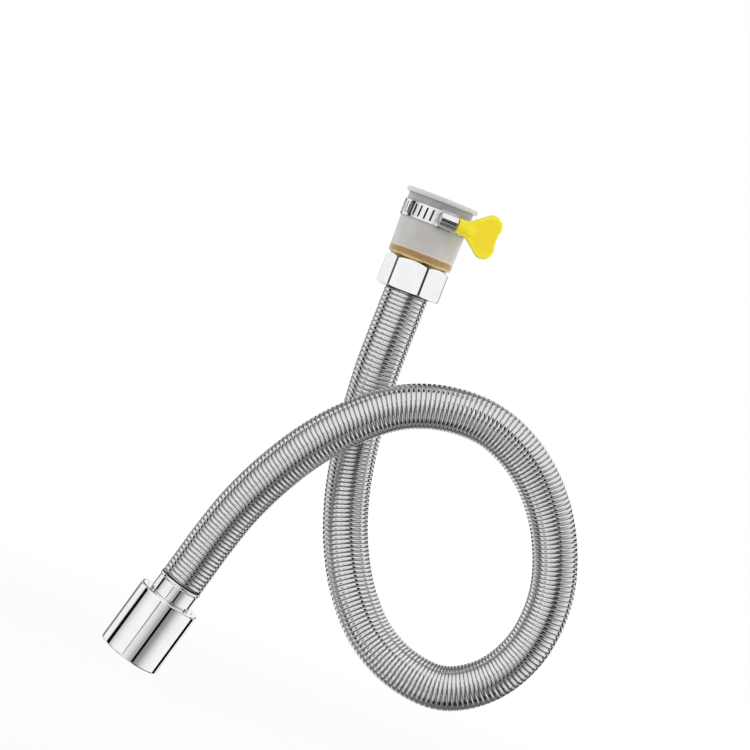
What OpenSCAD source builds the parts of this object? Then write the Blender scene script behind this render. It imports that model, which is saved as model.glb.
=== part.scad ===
// Bathing hose that clamps onto a tap spout: a soft sleeve with a worm-drive
// clamp, a union nut, an armoured hose in one loop and an aerated outlet head.
// The origin is the centre of the sleeve's mouth. +Z runs up the spout.

/* [Tap sleeve] */
// Diameter of the spout that the sleeve takes
spout_d = 21; // [17:0.5:22]
// Depth that the spout goes in
spout_depth = 18; // [16:0.5:22]
// Diameter of the flange round the mouth
flange_d = 32.3; // [31:0.1:36]
// Thickness of the flange
flange_t = 2.1; // [1.6:0.1:3.2]
// Outer diameter of the sleeve under the flange
sleeve_top_d = 29.2; // [28.6:0.1:30.4]
// Outer diameter of the sleeve at its base
sleeve_base_d = 28.3; // [27.6:0.1:28.6]
// Thickness of the floor between the spout and the insert
floor_t = 5.5; // [3:0.5:8]
// Wall of the skirt round the insert
skirt_wall = 1.2; // [0.8:0.1:1.6]
// Thickness of the flat gasket under the spout
gasket_t = 2; // [1:0.25:3]

/* [Threaded insert] */
// Thickness of the insert's flange
insert_flange_t = 4; // [2.5:0.25:6]
// How far the flange stands below the skirt
insert_proud = 0.5; // [0.2:0.1:1]
// Outer diameter of the pipe thread
thread_d = 20.8; // [19.5:0.1:21]
// Length of the pipe thread
thread_l = 6.5; // [5:0.5:9]
// Diameter of the water way through the insert
insert_bore_d = 11; // [8:0.5:12]
// Wall of the neck that holds the insert in the floor
insert_neck_wall = 2.5; // [1.5:0.1:2.7]

/* [Clamp] */
// Width of the band
band_w = 7.1; // [5.6:0.1:7.6]
// Thickness of the band
band_t = 0.6; // [0.4:0.1:0.8]
// Distance from the mouth down to the band's middle
band_drop = 9.1; // [8.5:0.1:11]
// Turn of the clamp about the sleeve
clamp_turn = 16; // [0:1:40]
// Number of slots cut in the band
slot_count = 15; // [8:1:18]
// Distance from slot to slot
slot_pitch = 2.95; // [2.5:0.05:3.2]
// Width of a slot
slot_w = 0.75; // [0.6:0.05:1.2]
// Length of a slot
slot_l = 5.1; // [3.6:0.1:5.2]
// Slant of the slots
slot_slant = -3.5; // [-8:0.5:8]
// Length of the band's free end past the screw
tail_l = 12; // [7:0.5:14]
// Outer diameter of the worm's thread
worm_d = 5.3; // [4.6:0.1:5.5]
// Depth of the worm's thread
worm_thread = 0.7; // [0.4:0.1:0.9]
// Wall of the housing round the worm
barrel_wall = 0.7; // [0.5:0.1:0.9]
// Length of the housing
barrel_l = 7.8; // [7:0.1:9]
// Thickness of the housing's cheeks beside the band
cheek_t = 0.5; // [0.4:0.1:0.8]

/* [Wing key] */
// Length of the key along the screw
key_l = 19.8; // [18:0.1:24]
// Width of the key across both lobes
key_w = 19.6; // [17:0.1:21]
// Radius of a lobe
lobe_r = 4.8; // [4:0.1:5.2]
// Width of the waist behind the lobes
waist_w = 8; // [7:0.1:9]
// Thickness of the wings
key_t = 3.2; // [2.4:0.1:4]
// Diameter of the key's round neck
neck_d = 6.4; // [6:0.1:7]
// Diameter of the screw's shank
shank_d = 3.8; // [3:0.1:4.2]

/* [Union nut] */
// Size of the nut across its flats
nut_flats = 25; // [24.4:0.1:27]
// Chamfer on the nut's corners
nut_chamfer = 2; // [0.8:0.1:2.2]
// Thickness of the shoulder under the tailpiece
shoulder_t = 2.2; // [1.4:0.1:3]
// Thickness of the sealing washer
washer_t = 2; // [1:0.25:3]
// Thickness of the slip ring on the shoulder
slip_t = 0.8; // [0.6:0.1:1.2]

/* [Tailpieces and ferrules] */
// Thickness of the upper tailpiece's flange
tail_flange_t = 2.2; // [1.5:0.1:3]
// Diameter of the upper tailpiece's neck
tail_neck_d = 15; // [12.5:0.1:15.4]
// Diameter of the water way through the tailpieces
tail_bore_d = 7.5; // [5:0.5:8]
// Depth of a barb
barb_depth = 0.5; // [0.3:0.1:0.6]
// Number of barbs in the tube
barb_count = 4; // [2:1:5]
// Distance from barb to barb
barb_pitch = 3.4; // [2.4:0.1:3.6]
// Wall of the crimped sleeve round the tube
crimp_wall = 0.4; // [0.3:0.05:0.45]
// Diameter of the ferrule that shows at the outlet
ferrule_d = 19.2; // [18.2:0.1:19.8]
// Length of that ferrule
ferrule_l = 8.8; // [6:0.1:12]
// Width of the rolled lip at the ferrule's top
lip_w = 1.2; // [0.6:0.1:2]

/* [Hose] */
// Outer diameter over the ribs
hose_d = 19.4; // [18.8:0.1:20]
// Height of a rib above the groove
rib_h = 0.75; // [0.5:0.05:0.9]
// Number of ribs along the hose
rib_count = 200; // [60:1:200]
// Wall of the armour under a groove
armour_wall = 0.55; // [0.45:0.05:0.7]
// Wall of the inner tube
tube_wall = 1.8; // [1.4:0.1:2]

/* [Outlet head] */
// Outer diameter of the collar
collar_d = 28.4; // [26.6:0.1:31]
// Length of the collar
collar_l = 30.5; // [26:0.5:40]
// Wall of the collar round its thread
collar_wall = 2.6; // [2.4:0.1:3.1]
// Rounding of the collar's upper edge
collar_round = 2.1; // [0.8:0.1:2.3]
// Diameter of the mouth
mouth_d = 17.4; // [14:0.2:18]
// Depth of the mouth below the screen
mouth_depth = 3; // [1.5:0.25:5]
// Length of the collar's thread
head_l = 10.5; // [8:0.5:12]
// Thickness of the gasket over the cartridge
outlet_gasket_t = 2; // [1:0.25:2.5]
// Wall of the aerator cartridge
cartridge_wall = 1.2; // [0.8:0.1:1.5]
// Thickness of the jet plate
jet_plate_t = 1.6; // [1:0.1:2.5]
// Number of jets round the plate
jet_count = 12; // [6:1:16]
// Diameter of a jet
jet_d = 1.4; // [0.8:0.1:1.6]
// Thickness of the outlet screen
screen_t = 1.2; // [0.8:0.1:2]
// Distance from cell to cell in the screen
cell_pitch = 2.2; // [2:0.1:3]
// Wall between two cells
cell_wall = 0.6; // [0.4:0.05:0.8]

/* [Hidden] */
$fn = 96;

// clearances
seat = 0.05;          // pieces of one body that rest on each other
running = 0.1;        // a turning fit, on the radius
apart = 0.3;          // pieces of two bodies that pass each other
over = 1;             // how far a cut runs past a face
edge = 0.4;           // small chamfer on turned and moulded edges

// sleeve and insert, levels counted down from the mouth
spout_r = spout_d / 2;
gasket_r = spout_r - edge;
floor_top = -(spout_depth + gasket_t);
insert_top = floor_top - floor_t;
insert_foot = insert_top - insert_flange_t;
sleeve_foot = insert_foot + insert_proud;
pocket_r = sleeve_base_d / 2 - skirt_wall;
taper_top = -band_drop - band_w / 2 - apart;   // the sleeve is straight under the band
insert_bore_r = insert_bore_d / 2;
insert_neck_r = insert_bore_r + insert_neck_wall;
thread_r = thread_d / 2;
thread_foot = insert_foot - thread_l;

// nut and upper tailpiece
nut_top = insert_foot - apart;
washer_foot = thread_foot - seat - washer_t;
tail_flange_foot = washer_foot - seat - tail_flange_t;
slip_foot = tail_flange_foot - seat - slip_t;
shoulder_top = slip_foot - seat;
nut_foot = shoulder_top - shoulder_t;
nut_bore_r = thread_r + running;
stack_r = nut_bore_r - apart;
tail_neck_r = tail_neck_d / 2;
tail_bore_r = tail_bore_d / 2;
nut_turn = -9.6;      // turn of the nut's flats about the thread
corner_r = nut_flats / 2 / cos(30);

// clamp, in its own frame: the screw lies along X in front of the sleeve
band_r = sleeve_top_d / 2 + seat;
band_out_r = band_r + band_t;
tail_out_r = band_out_r + band_t;
worm_r = worm_d / 2;
barrel_bore_r = worm_r + running;
barrel_r = barrel_bore_r + barrel_wall;
screw_r = tail_out_r + apart + worm_r;
shank_r = shank_d / 2;
journal_l = barrel_l / 9;
key_start = barrel_l / 2 + apart;
key_end = key_start + key_l;
lobe_x = key_end - lobe_r;
lobe_y = key_w / 2 - lobe_r;
waist_x = key_start + key_l * 0.3;
shank_end = waist_x - over;       // inside the round neck
valley_x = key_end - lobe_r / 8;

// hose, as rings of eight corners whose mean radius is the true one
sides = 8;
corner_share = 2 / (1 + cos(180 / sides));
flat_share = cos(180 / sides);
crest_r = hose_d / 2 * corner_share;
groove_r = crest_r - rib_h;
armour_bore_r = groove_r - armour_wall;
crimp_out_r = armour_bore_r * flat_share - running;
crimp_bore_r = crimp_out_r - crimp_wall;
tube_r = crimp_bore_r - seat;
tube_bore_r = tube_r - tube_wall;
barb_r = tube_bore_r * flat_share - running;
crimp_l = barb_count * barb_pitch + edge;
tail_body_foot = nut_foot - apart - seat;
hose_top = nut_foot - apart;

// outlet head, placed at the end of the hose and leaning back and to the left
outlet_at = [-45, -2.5, -194.5];
outlet_tilt = 7;
outlet_lean = 15;
outlet_dir = [
  -sin(outlet_lean) * cos(outlet_tilt),
  sin(outlet_tilt),
  -cos(outlet_lean) * cos(outlet_tilt)
];
ferrule_r = ferrule_d / 2;
collar_r = collar_d / 2;
collar_bore_r = collar_r - collar_wall;
head_r = collar_bore_r - running;
mouth_r = mouth_d / 2;
tail_body_r = crimp_bore_r;
head_top = -ferrule_l;
head_foot = head_top - head_l;
collar_foot = head_top - collar_l;
mouth_top = collar_foot + mouth_depth;
outlet_gasket_foot = head_foot - seat - outlet_gasket_t;
cartridge_top = outlet_gasket_foot - seat;
cartridge_foot = mouth_top + seat;
cartridge_r = collar_bore_r - running;
cartridge_bore_r = cartridge_r - cartridge_wall;
plate_foot = cartridge_top - edge - jet_plate_t;
screen_foot = cartridge_foot + edge;
screen_r = cartridge_bore_r - seat;
ledge_w = 1;
jet_ring_r = cartridge_bore_r * 0.6;

// route of the hose: straight out of the nut, once round, straight into the ferrule
straight_step = hose_d * 0.6;
route = concat(
  [for (k = [0, 1, 2]) [0, 0, hose_top - k * straight_step]],
  [
    [0.3, 1.5, -81.5], [1.9, 5.5, -101], [4.5, 8.5, -119.5], [8.8, 9, -138], [15.5, 8, -155.5],
    [25.5, 6, -172.5], [39.5, 4, -187], [57, 2, -195.5], [76.5, 0, -196.5],
    [93, -2, -186], [103, -4, -168.5], [105.5, -6, -148.5], [101.5, -8, -129],
    [91, -10, -109], [75, -13, -93], [55.5, -15.5, -84], [35, -17, -83.7],
    [15.6, -17.5, -90.3], [-0.5, -17, -103], [-14.2, -15, -118.9],
    [-25.7, -11.5, -137.9], [-33.7, -8, -155.6]
  ],
  [for (k = [2, 1, 0]) outlet_at - k * straight_step * outlet_dir]
);

// Catmull-Rom curve through the route, measured once so that rings lie evenly
span_steps = 12;
last = len(route) - 1;
before = 2 * route[0] - route[1];
after = 2 * route[last] - route[last - 1];
knots = concat([before], route, [after]);
function blend(a, b, c, d, t) =
  (2 * b + (c - a) * t + (2 * a - 5 * b + 4 * c - d) * t * t
   + (3 * b - a - 3 * c + d) * t * t * t) / 2;
curve = [
  for (i = [0 : last - 1], s = [0 : span_steps - 1])
    blend(knots[i], knots[i + 1], knots[i + 2], knots[i + 3], s / span_steps),
  route[last]
];
run = [
  for (i = 0, s = 0; i < len(curve);
       s = s + (i < len(curve) - 1 ? norm(curve[i + 1] - curve[i]) : 0), i = i + 1) s
];
hose_l = run[len(run) - 1];
along = [for (axis = [0 : 2]) [for (i = [0 : len(curve) - 1]) [run[i], curve[i][axis]]]];
reach = hose_d / 6;   // half the stretch that a ring's heading is taken over
function at(s) = [for (axis = [0 : 2]) lookup(s, along[axis])];
function unit(v) = v / norm(v);
function heading(s) = unit(at(s + reach) - at(s - reach));
function across(t) = unit([0, 1, 0] - t[1] * t);

// one ring of corners round the route, s along it
function ring(s, r) =
  let (c = at(s), t = heading(s), u = across(t), v = cross(t, u))
  [for (k = [0 : sides - 1]) c + r * (cos(360 * k / sides) * u + sin(360 * k / sides) * v)];

// triangles between ring a and ring b, each of `sides` corners
function skin(a, b) = [
  for (k = [0 : sides - 1])
    let (n = (k + 1) % sides)
    each [[a + k, a + n, b + n], [a + k, b + n, b + k]]
];

// pipe of outer rings and inner rings, both from the first end to the last
module pipe(outer, inner) {
  rings = concat(outer, inner);
  outer_last = len(outer) - 1;
  inner_first = len(outer);
  inner_last = len(rings) - 1;
  faces = concat(
    [for (i = [0 : outer_last - 1]) each skin(i * sides, (i + 1) * sides)],
    [for (i = [inner_first : inner_last - 1]) each skin((i + 1) * sides, i * sides)],
    skin(inner_first * sides, 0),
    skin(outer_last * sides, inner_last * sides)
  );
  polyhedron(points = [for (r = rings) each r], faces = faces);
}

bore_steps = 76;
function bore_rings(r) = [for (i = [0 : bore_steps]) ring(hose_l * i / bore_steps, r)];

// least gap of the hose to itself, between points over four diameters apart
gap_steps = 150;
self_gap = min([
  for (i = [0 : gap_steps], j = [0 : gap_steps])
    if ((j - i) * hose_l / gap_steps > 4 * hose_d)
      norm(at(hose_l * i / gap_steps) - at(hose_l * j / gap_steps)) - 2 * crest_r
]);
echo(hose_length = hose_l, rib_pitch = hose_l / rib_count, least_gap_to_itself = self_gap);

// points of a row of barbs: each rises from the root and falls back square
function barbs(top, r) = [
  for (k = [0 : barb_count - 1])
    each [[r, top - k * barb_pitch], [r - barb_depth, top - (k + 1) * barb_pitch + edge],
          [r, top - (k + 1) * barb_pitch + edge]]
];

// ring with a square section
module washer(r_in, r_out, foot, t) {
  translate([0, 0, foot])
    difference() {
      cylinder(r = r_out, h = t);
      translate([0, 0, -over]) cylinder(r = r_in, h = t + 2 * over);
    }
}

// cylinder along X, in front of the sleeve where the screw lies
module rod(r, from, to) {
  translate([from, -screw_r, 0]) rotate([0, 90, 0]) cylinder(r = r, h = to - from);
}

module at_clamp() {
  translate([0, 0, -band_drop]) rotate([0, 0, clamp_turn]) children();
}

module at_outlet() {
  translate(outlet_at) rotate([outlet_tilt, outlet_lean, 0]) children();
}

module tap_sleeve() {
  color([0.86, 0.86, 0.84, 0.8])
    rotate_extrude()
      polygon([
        [spout_r, 0], [flange_d / 2 - edge, 0], [flange_d / 2, -edge],
        [flange_d / 2, edge - flange_t], [flange_d / 2 - edge, -flange_t],
        [sleeve_top_d / 2, -flange_t], [sleeve_top_d / 2, taper_top],
        [sleeve_base_d / 2, sleeve_foot],
        [pocket_r, sleeve_foot], [pocket_r, insert_top],
        [insert_neck_r + seat, insert_top], [insert_neck_r + seat, floor_top],
        [gasket_r, floor_top], [gasket_r, -spout_depth], [spout_r, -spout_depth]
      ]);
}

module spout_gasket() {
  color([0.2, 0.2, 0.2])
    washer(insert_bore_r + seat, gasket_r - seat, floor_top + seat, gasket_t - seat);
}

module threaded_insert() {
  color([0.78, 0.62, 0.38])
    rotate_extrude()
      polygon([
        [insert_bore_r, floor_top], [insert_neck_r, floor_top],
        [insert_neck_r, insert_top - seat], [pocket_r - seat, insert_top - seat],
        [pocket_r - seat, insert_foot + edge], [pocket_r - seat - edge, insert_foot],
        [thread_r, insert_foot], [thread_r, thread_foot + edge],
        [thread_r - edge, thread_foot], [insert_bore_r, thread_foot]
      ]);
}

module clamp_band() {
  slot_step = slot_pitch / band_out_r * 180 / PI;
  tail_angle = tail_l / tail_out_r * 180 / PI;
  color([0.82, 0.82, 0.84])
    at_clamp()
      difference() {
        union() {
          washer(band_r, band_out_r, -band_w / 2, band_w);
          rotate([0, 0, -90])
            rotate_extrude(angle = tail_angle)
              translate([band_out_r - seat, -band_w / 2])
                square([band_t + seat, band_w]);
        }
        for (k = [0 : slot_count - 1])
          rotate([0, 0, tail_angle - 90 - (k + 1) * slot_step])
            translate([band_out_r, 0, 0])
              rotate([slot_slant, 0, 0])
                cube([4 * band_t, slot_w, slot_l], center = true);
      }
}

module screw_housing() {
  envelope = band_w / 2 + seat;
  color([0.85, 0.85, 0.87])
    at_clamp()
      difference() {
        union() {
          rod(barrel_r, -barrel_l / 2, barrel_l / 2);
          translate([-barrel_l / 2, -screw_r, -envelope - cheek_t])
            cube([barrel_l, screw_r - band_r, 2 * (envelope + cheek_t)]);
        }
        rod(barrel_bore_r, -barrel_l, barrel_l);
        translate([0, 0, -envelope]) cylinder(r = tail_out_r + seat, h = 2 * envelope);
        translate([0, 0, -band_w]) cylinder(r = band_r, h = 2 * band_w);
      }
}

// the thread is drawn as level ridges, one to each turn
module worm_screw() {
  ridge_count = floor((barrel_l - 2 * journal_l) / slot_pitch);
  thread_end = ridge_count * slot_pitch / 2;
  slope = slot_pitch / 4;
  start = -barrel_l / 2 - edge;
  color([0.7, 0.7, 0.72])
    at_clamp()
      translate([0, -screw_r, 0])
        rotate([0, 90, 0])
          rotate_extrude()
            polygon(concat(
              [[0, start], [worm_r - edge, start], [worm_r, start + edge]],
              [for (k = [0 : ridge_count - 1])
                 let (z = k * slot_pitch - thread_end)
                 each [[worm_r, z + slope / 2], [worm_r - worm_thread, z + slope * 1.5],
                       [worm_r - worm_thread, z + slope * 2.5], [worm_r, z + slope * 3.5]]],
              [[worm_r, barrel_l / 2], [shank_r, barrel_l / 2], [shank_r, shank_end],
               [0, shank_end]]
            ));
}

// half of the key's outline, on the +Y side of the screw
module wing() {
  translate([lobe_x, lobe_y]) circle(r = lobe_r);
  polygon([
    [key_start + edge, 0], [key_start + edge, neck_d / 2], [waist_x, waist_w / 2],
    [lobe_x - lobe_r * cos(40), lobe_y + lobe_r * sin(40)],
    [lobe_x + lobe_r * cos(20), lobe_y - lobe_r * sin(20)], [valley_x, 0]
  ]);
}

module wing_key() {
  color([0.96, 0.87, 0.12])
    at_clamp()
      difference() {
        union() {
          rod(neck_d / 2, key_start, waist_x);
          translate([0, -screw_r, 0])
            rotate([90, 0, 0])
              translate([0, 0, -key_t / 2])
                linear_extrude(height = key_t)
                  union() {
                    wing();
                    mirror([0, 1]) wing();
                  }
        }
        rod(shank_r + seat, 0, shank_end + seat);
      }
}

module union_nut() {
  slope = nut_chamfer * tan(30);
  color([0.88, 0.88, 0.9])
    rotate([0, 0, nut_turn])
      difference() {
        intersection() {
          translate([0, 0, nut_foot]) cylinder(r = corner_r, h = nut_top - nut_foot, $fn = 6);
          rotate_extrude()
            polygon([
              [0, nut_top], [corner_r - nut_chamfer, nut_top], [corner_r, nut_top - slope],
              [corner_r, nut_foot + slope / 2], [corner_r - nut_chamfer / 2, nut_foot],
              [0, nut_foot]
            ]);
        }
        translate([0, 0, shoulder_top]) cylinder(r = nut_bore_r, h = nut_top - shoulder_top + over);
        translate([0, 0, nut_foot - over])
          cylinder(r = tail_neck_r + running, h = shoulder_t + 2 * over);
      }
}

module nut_washer() {
  color([0.12, 0.12, 0.12]) washer(insert_bore_r, stack_r, washer_foot, washer_t);
}

module slip_ring() {
  color([0.92, 0.92, 0.9]) washer(tail_neck_r + seat, stack_r, slip_foot, slip_t);
}

module tailpiece_top() {
  color([0.8, 0.66, 0.36])
    rotate_extrude()
      polygon(concat(
        [[tail_bore_r, tail_flange_foot + tail_flange_t],
         [stack_r, tail_flange_foot + tail_flange_t], [stack_r, tail_flange_foot],
         [tail_neck_r, tail_flange_foot], [tail_neck_r, tail_body_foot]],
        barbs(tail_body_foot, barb_r),
        [[tail_bore_r, tail_body_foot - barb_count * barb_pitch + edge]]
      ));
}

module ferrule_top() {
  color([0.75, 0.75, 0.77])
    washer(crimp_bore_r, crimp_out_r, tail_body_foot - crimp_l, crimp_l - seat);
}

module inner_tube() {
  first = hose_top - tail_body_foot + seat;
  outer = [for (i = [0 : bore_steps])
             ring(first + (hose_l - first - seat) * i / bore_steps, tube_r)];
  inner = [for (i = [0 : bore_steps])
             ring(first + (hose_l - first - seat) * i / bore_steps, tube_bore_r)];
  color([0.25, 0.25, 0.27]) pipe(outer, inner);
}

module hose_armour() {
  rings = 2 * rib_count;
  outer = [for (i = [0 : rings]) ring(hose_l * i / rings, i % 2 == 0 ? groove_r : crest_r)];
  color([0.78, 0.78, 0.8]) pipe(outer, bore_rings(armour_bore_r));
}

module ferrule_bottom() {
  color([0.9, 0.9, 0.92])
    at_outlet()
      rotate_extrude()
        polygon([
          [crimp_bore_r, crimp_l], [crimp_out_r, crimp_l], [crimp_out_r, -seat],
          [ferrule_r, -seat], [ferrule_r + edge, -edge - seat], [ferrule_r + edge, -lip_w],
          [ferrule_r, -lip_w - edge], [ferrule_r, head_top + seat],
          [tail_body_r + seat, head_top + seat], [tail_body_r + seat, -seat],
          [crimp_bore_r, -seat]
        ]);
}

module tailpiece_bottom() {
  color([0.9, 0.9, 0.92])
    at_outlet()
      mirror([0, 0, 1])
        rotate_extrude()
          polygon(concat(
            [[tail_bore_r, -head_foot], [head_r - edge, -head_foot], [head_r, -head_foot - edge],
             [head_r, -head_top], [tail_body_r, -head_top], [tail_body_r, seat]],
            barbs(seat, barb_r),
            [[tail_bore_r, seat - barb_count * barb_pitch + edge]]
          ));
}

module outlet_gasket() {
  color([0.12, 0.12, 0.12])
    at_outlet() washer(tail_bore_r, cartridge_r, outlet_gasket_foot, outlet_gasket_t);
}

module aerator_cartridge() {
  color([0.93, 0.93, 0.92])
    at_outlet()
      rotate_extrude()
        polygon([
          [cartridge_bore_r, cartridge_top], [cartridge_r, cartridge_top],
          [cartridge_r, cartridge_foot], [cartridge_bore_r, cartridge_foot],
          [cartridge_bore_r, screen_foot + screen_t + seat],
          [cartridge_bore_r - ledge_w, screen_foot + screen_t + seat],
          [cartridge_bore_r - ledge_w, plate_foot - seat],
          [cartridge_bore_r, plate_foot - seat]
        ]);
}

module jet_plate() {
  color([0.85, 0.85, 0.84])
    at_outlet()
      difference() {
        translate([0, 0, plate_foot]) cylinder(r = screen_r, h = jet_plate_t);
        for (k = [0 : jet_count - 1])
          rotate([0, 0, 360 * k / jet_count])
            translate([jet_ring_r, 0, plate_foot - over])
              cylinder(r = jet_d / 2, h = jet_plate_t + 2 * over, $fn = 24);
      }
}

// six-sided cells on a triangular grid, inside the screen's rim
module outlet_screen() {
  cell_r = (cell_pitch - cell_wall) / 2 / cos(30);
  grid = ceil(screen_r / cell_pitch);
  color([0.72, 0.72, 0.74])
    at_outlet()
      difference() {
        translate([0, 0, screen_foot]) cylinder(r = screen_r, h = screen_t);
        for (i = [-grid : grid], j = [-grid : grid]) {
          x = (i + j / 2) * cell_pitch;
          y = j * cell_pitch * sin(60);
          if (norm([x, y]) < mouth_r - cell_pitch / 2)
            translate([x, y, screen_foot - over])
              rotate([0, 0, 30]) cylinder(r = cell_r, h = screen_t + 2 * over, $fn = 6);
        }
      }
}

// quarter round from angle a, turning clockwise
function quarter(x, z, r, a) = [for (k = [0 : 4]) [x + r * cos(a - 22.5 * k), z + r * sin(a - 22.5 * k)]];

module outlet_collar() {
  color([0.9, 0.9, 0.92])
    at_outlet()
      rotate_extrude()
        polygon(concat(
          [[collar_bore_r, head_top]],
          quarter(collar_r - collar_round, head_top - collar_round, collar_round, 90),
          [[collar_r, collar_foot + collar_round / 3],
           [collar_r - collar_round / 3, collar_foot], [mouth_r + edge, collar_foot],
           [mouth_r, collar_foot + edge], [mouth_r, mouth_top], [collar_bore_r, mouth_top]]
        ));
}

tap_sleeve();
spout_gasket();
threaded_insert();
clamp_band();
screw_housing();
worm_screw();
wing_key();
union_nut();
nut_washer();
slip_ring();
tailpiece_top();
ferrule_top();
inner_tube();
hose_armour();
ferrule_bottom();
tailpiece_bottom();
outlet_gasket();
jet_plate();
aerator_cartridge();
outlet_screen();
outlet_collar();
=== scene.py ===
import bmesh
import bpy
import numpy as np
from mathutils import Matrix, Vector


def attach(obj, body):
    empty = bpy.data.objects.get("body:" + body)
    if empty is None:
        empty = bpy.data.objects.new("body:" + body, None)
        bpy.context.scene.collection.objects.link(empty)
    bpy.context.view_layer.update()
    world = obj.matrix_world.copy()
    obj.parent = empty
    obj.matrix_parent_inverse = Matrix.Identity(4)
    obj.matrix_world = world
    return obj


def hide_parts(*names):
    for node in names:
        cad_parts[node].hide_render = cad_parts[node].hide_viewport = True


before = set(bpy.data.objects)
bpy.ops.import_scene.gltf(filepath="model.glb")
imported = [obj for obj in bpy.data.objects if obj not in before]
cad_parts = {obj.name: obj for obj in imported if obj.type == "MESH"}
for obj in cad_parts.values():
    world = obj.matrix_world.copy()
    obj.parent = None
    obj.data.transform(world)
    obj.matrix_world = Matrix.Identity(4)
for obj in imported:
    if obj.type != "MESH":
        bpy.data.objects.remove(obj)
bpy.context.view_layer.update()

mm = 0.001
fullTurn = 2 * np.pi
print("frame loaded with", len(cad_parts), "nodes")


def addObject(name, data):
    made = bpy.data.objects.new(name, data)
    bpy.context.scene.collection.objects.link(made)
    return made


camera = {
    "lens": 300.0, "sensor": 36.0,
    "clip": (0.05, 50.0),
    "place": (0.00013, -2.69, -0.0815),
    "right": (0.9319, 0.0, 0.3628),      # the sprayer is seen turned by 21 degrees
    "up": (-0.3628, 0.0, 0.9319),
}


def addCamera():
    data = bpy.data.cameras.new("sprayerCamera")
    data.lens = camera["lens"]
    data.sensor_width = camera["sensor"]
    data.clip_start, data.clip_end = camera["clip"]
    cam = addObject("sprayerCamera", data)
    right, up = Vector(camera["right"]), Vector(camera["up"])
    turn = Matrix((right, up, right.cross(up))).transposed().to_4x4()
    cam.matrix_world = Matrix.Translation(camera["place"]) @ turn
    bpy.context.scene.camera = cam


addCamera()
print("camera placed")


# material nodes

noiseReach = (0.3, 0.7)       # where nearly all of a noise's values lie


# a new node; each value that is named sets a property of the node, or else its socket
def addNode(tree, kind, **values):
    made = tree.nodes.new(kind)
    for name, value in values.items():
        if hasattr(made, name):
            setattr(made, name, value)
        else:
            made.inputs[name].default_value = value
    return made


# a socket takes the link from another socket, or a fixed value
def feed(tree, socket, value):
    if isinstance(value, bpy.types.NodeSocket):
        tree.links.new(value, socket)
    else:
        socket.default_value = value


# one step of arithmetic on links or fixed values
def addMath(tree, operation, *values, kind="ShaderNodeMath", output=0, **options):
    made = addNode(tree, kind, operation=operation, **options)
    for socket, value in zip(made.inputs, values):
        feed(tree, socket, value)
    return made.outputs[output]


# the first colour, with the second laid over it or multiplied into it by the given share
def addMix(tree, share, first, second, blend="MIX"):
    mixed = addNode(tree, "ShaderNodeMix", data_type="RGBA", blend_type=blend)
    for socket, value in ((0, share), (6, first), (7, second)):
        feed(tree, mixed.inputs[socket], value)
    return mixed.outputs[2]


# colour stops over a value; a single number stands for a grey
def addRamp(tree, value, stops):
    ramp = tree.nodes.new("ShaderNodeValToRGB")
    bar = ramp.color_ramp
    while len(bar.elements) > 1:
        bar.elements.remove(bar.elements[-1])
    bar.elements[0].position = stops[0][0]
    for place, colour in stops[1:]:
        bar.elements.new(place)
    for stop, (place, colour) in zip(bar.elements, stops):
        stop.color = (*colour, 1) if hasattr(colour, "__len__") else (colour, colour, colour, 1)
    tree.links.new(value, ramp.inputs["Fac"])
    return ramp.outputs["Color"]


# a value carried from low..high to start..end
def addRange(tree, value, low, high, start=0.0, end=1.0):
    share = tree.nodes.new("ShaderNodeMapRange")
    for name, limit in (("From Min", low), ("From Max", high), ("To Min", start), ("To Max", end)):
        share.inputs[name].default_value = limit
    tree.links.new(value, share.inputs["Value"])
    return share.outputs["Result"]


def addAttribute(tree, name):
    return addNode(tree, "ShaderNodeAttribute", attribute_name=name).outputs["Fac"]


def startMaterial(name, **shader):
    material = bpy.data.materials.new(name)
    material.use_nodes = True
    tree = material.node_tree
    surface = tree.nodes["Principled BSDF"]
    for socket, value in shader.items():
        surface.inputs[socket.replace("_", " ")].default_value = value
    coords = tree.nodes.new("ShaderNodeTexCoord")
    return material, tree, surface, coords.outputs


# noise stretched along one way, so that it reads as a drawn, rolled or turned grain
def addGrain(tree, source, scale, stretch=(1, 1, 1), turn=(0, 0, 0), detail=3.0):
    place = addNode(tree, "ShaderNodeMapping", Scale=stretch, Rotation=turn)
    noise = addNode(tree, "ShaderNodeTexNoise", Scale=scale, Detail=detail)
    tree.links.new(source, place.inputs["Vector"])
    tree.links.new(place.outputs["Vector"], noise.inputs["Vector"])
    return noise.outputs["Fac"]


# the same grain shows in the roughness and as a fine bump
def addTexture(tree, surface, grain, rough, strength, distance):
    tree.links.new(addRange(tree, grain, *noiseReach, *rough), surface.inputs["Roughness"])
    addBump(tree, surface, grain, strength, distance)


def addBump(tree, surface, height, strength, distance):
    bump = addNode(tree, "ShaderNodeBump", Strength=strength, Distance=distance)
    tree.links.new(height, bump.inputs["Height"])
    tree.links.new(bump.outputs["Normal"], surface.inputs["Normal"])


metalGrain = {"clouds": 160, "bumpDepth": 0.00004}
mouldedGrain = {"clouds": 220, "pebbleDetail": 4.0, "bumpDepth": 0.00005}


# clouds between two tones
def addClouds(tree, surface, coords, scale, dark, light):
    clouds = addGrain(tree, coords["Object"], scale, detail=2.0)
    tone = addRamp(tree, clouds, list(zip(noiseReach, (dark, light))))
    tree.links.new(tone, surface.inputs["Base Color"])


# a metal: clouded tone, grain in the roughness and a fine bump, all in object coordinates
def metalFinish(name, dark, light, rough, grain, stretch=(1, 1, 1), turn=(0, 0, 0), bump=0.05):
    material, tree, surface, coords = startMaterial(name, Metallic=1.0)
    addClouds(tree, surface, coords, metalGrain["clouds"], dark, light)
    lines = addGrain(tree, coords["Object"], grain, stretch, turn)
    addTexture(tree, surface, lines, rough, bump, metalGrain["bumpDepth"])
    return material


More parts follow.
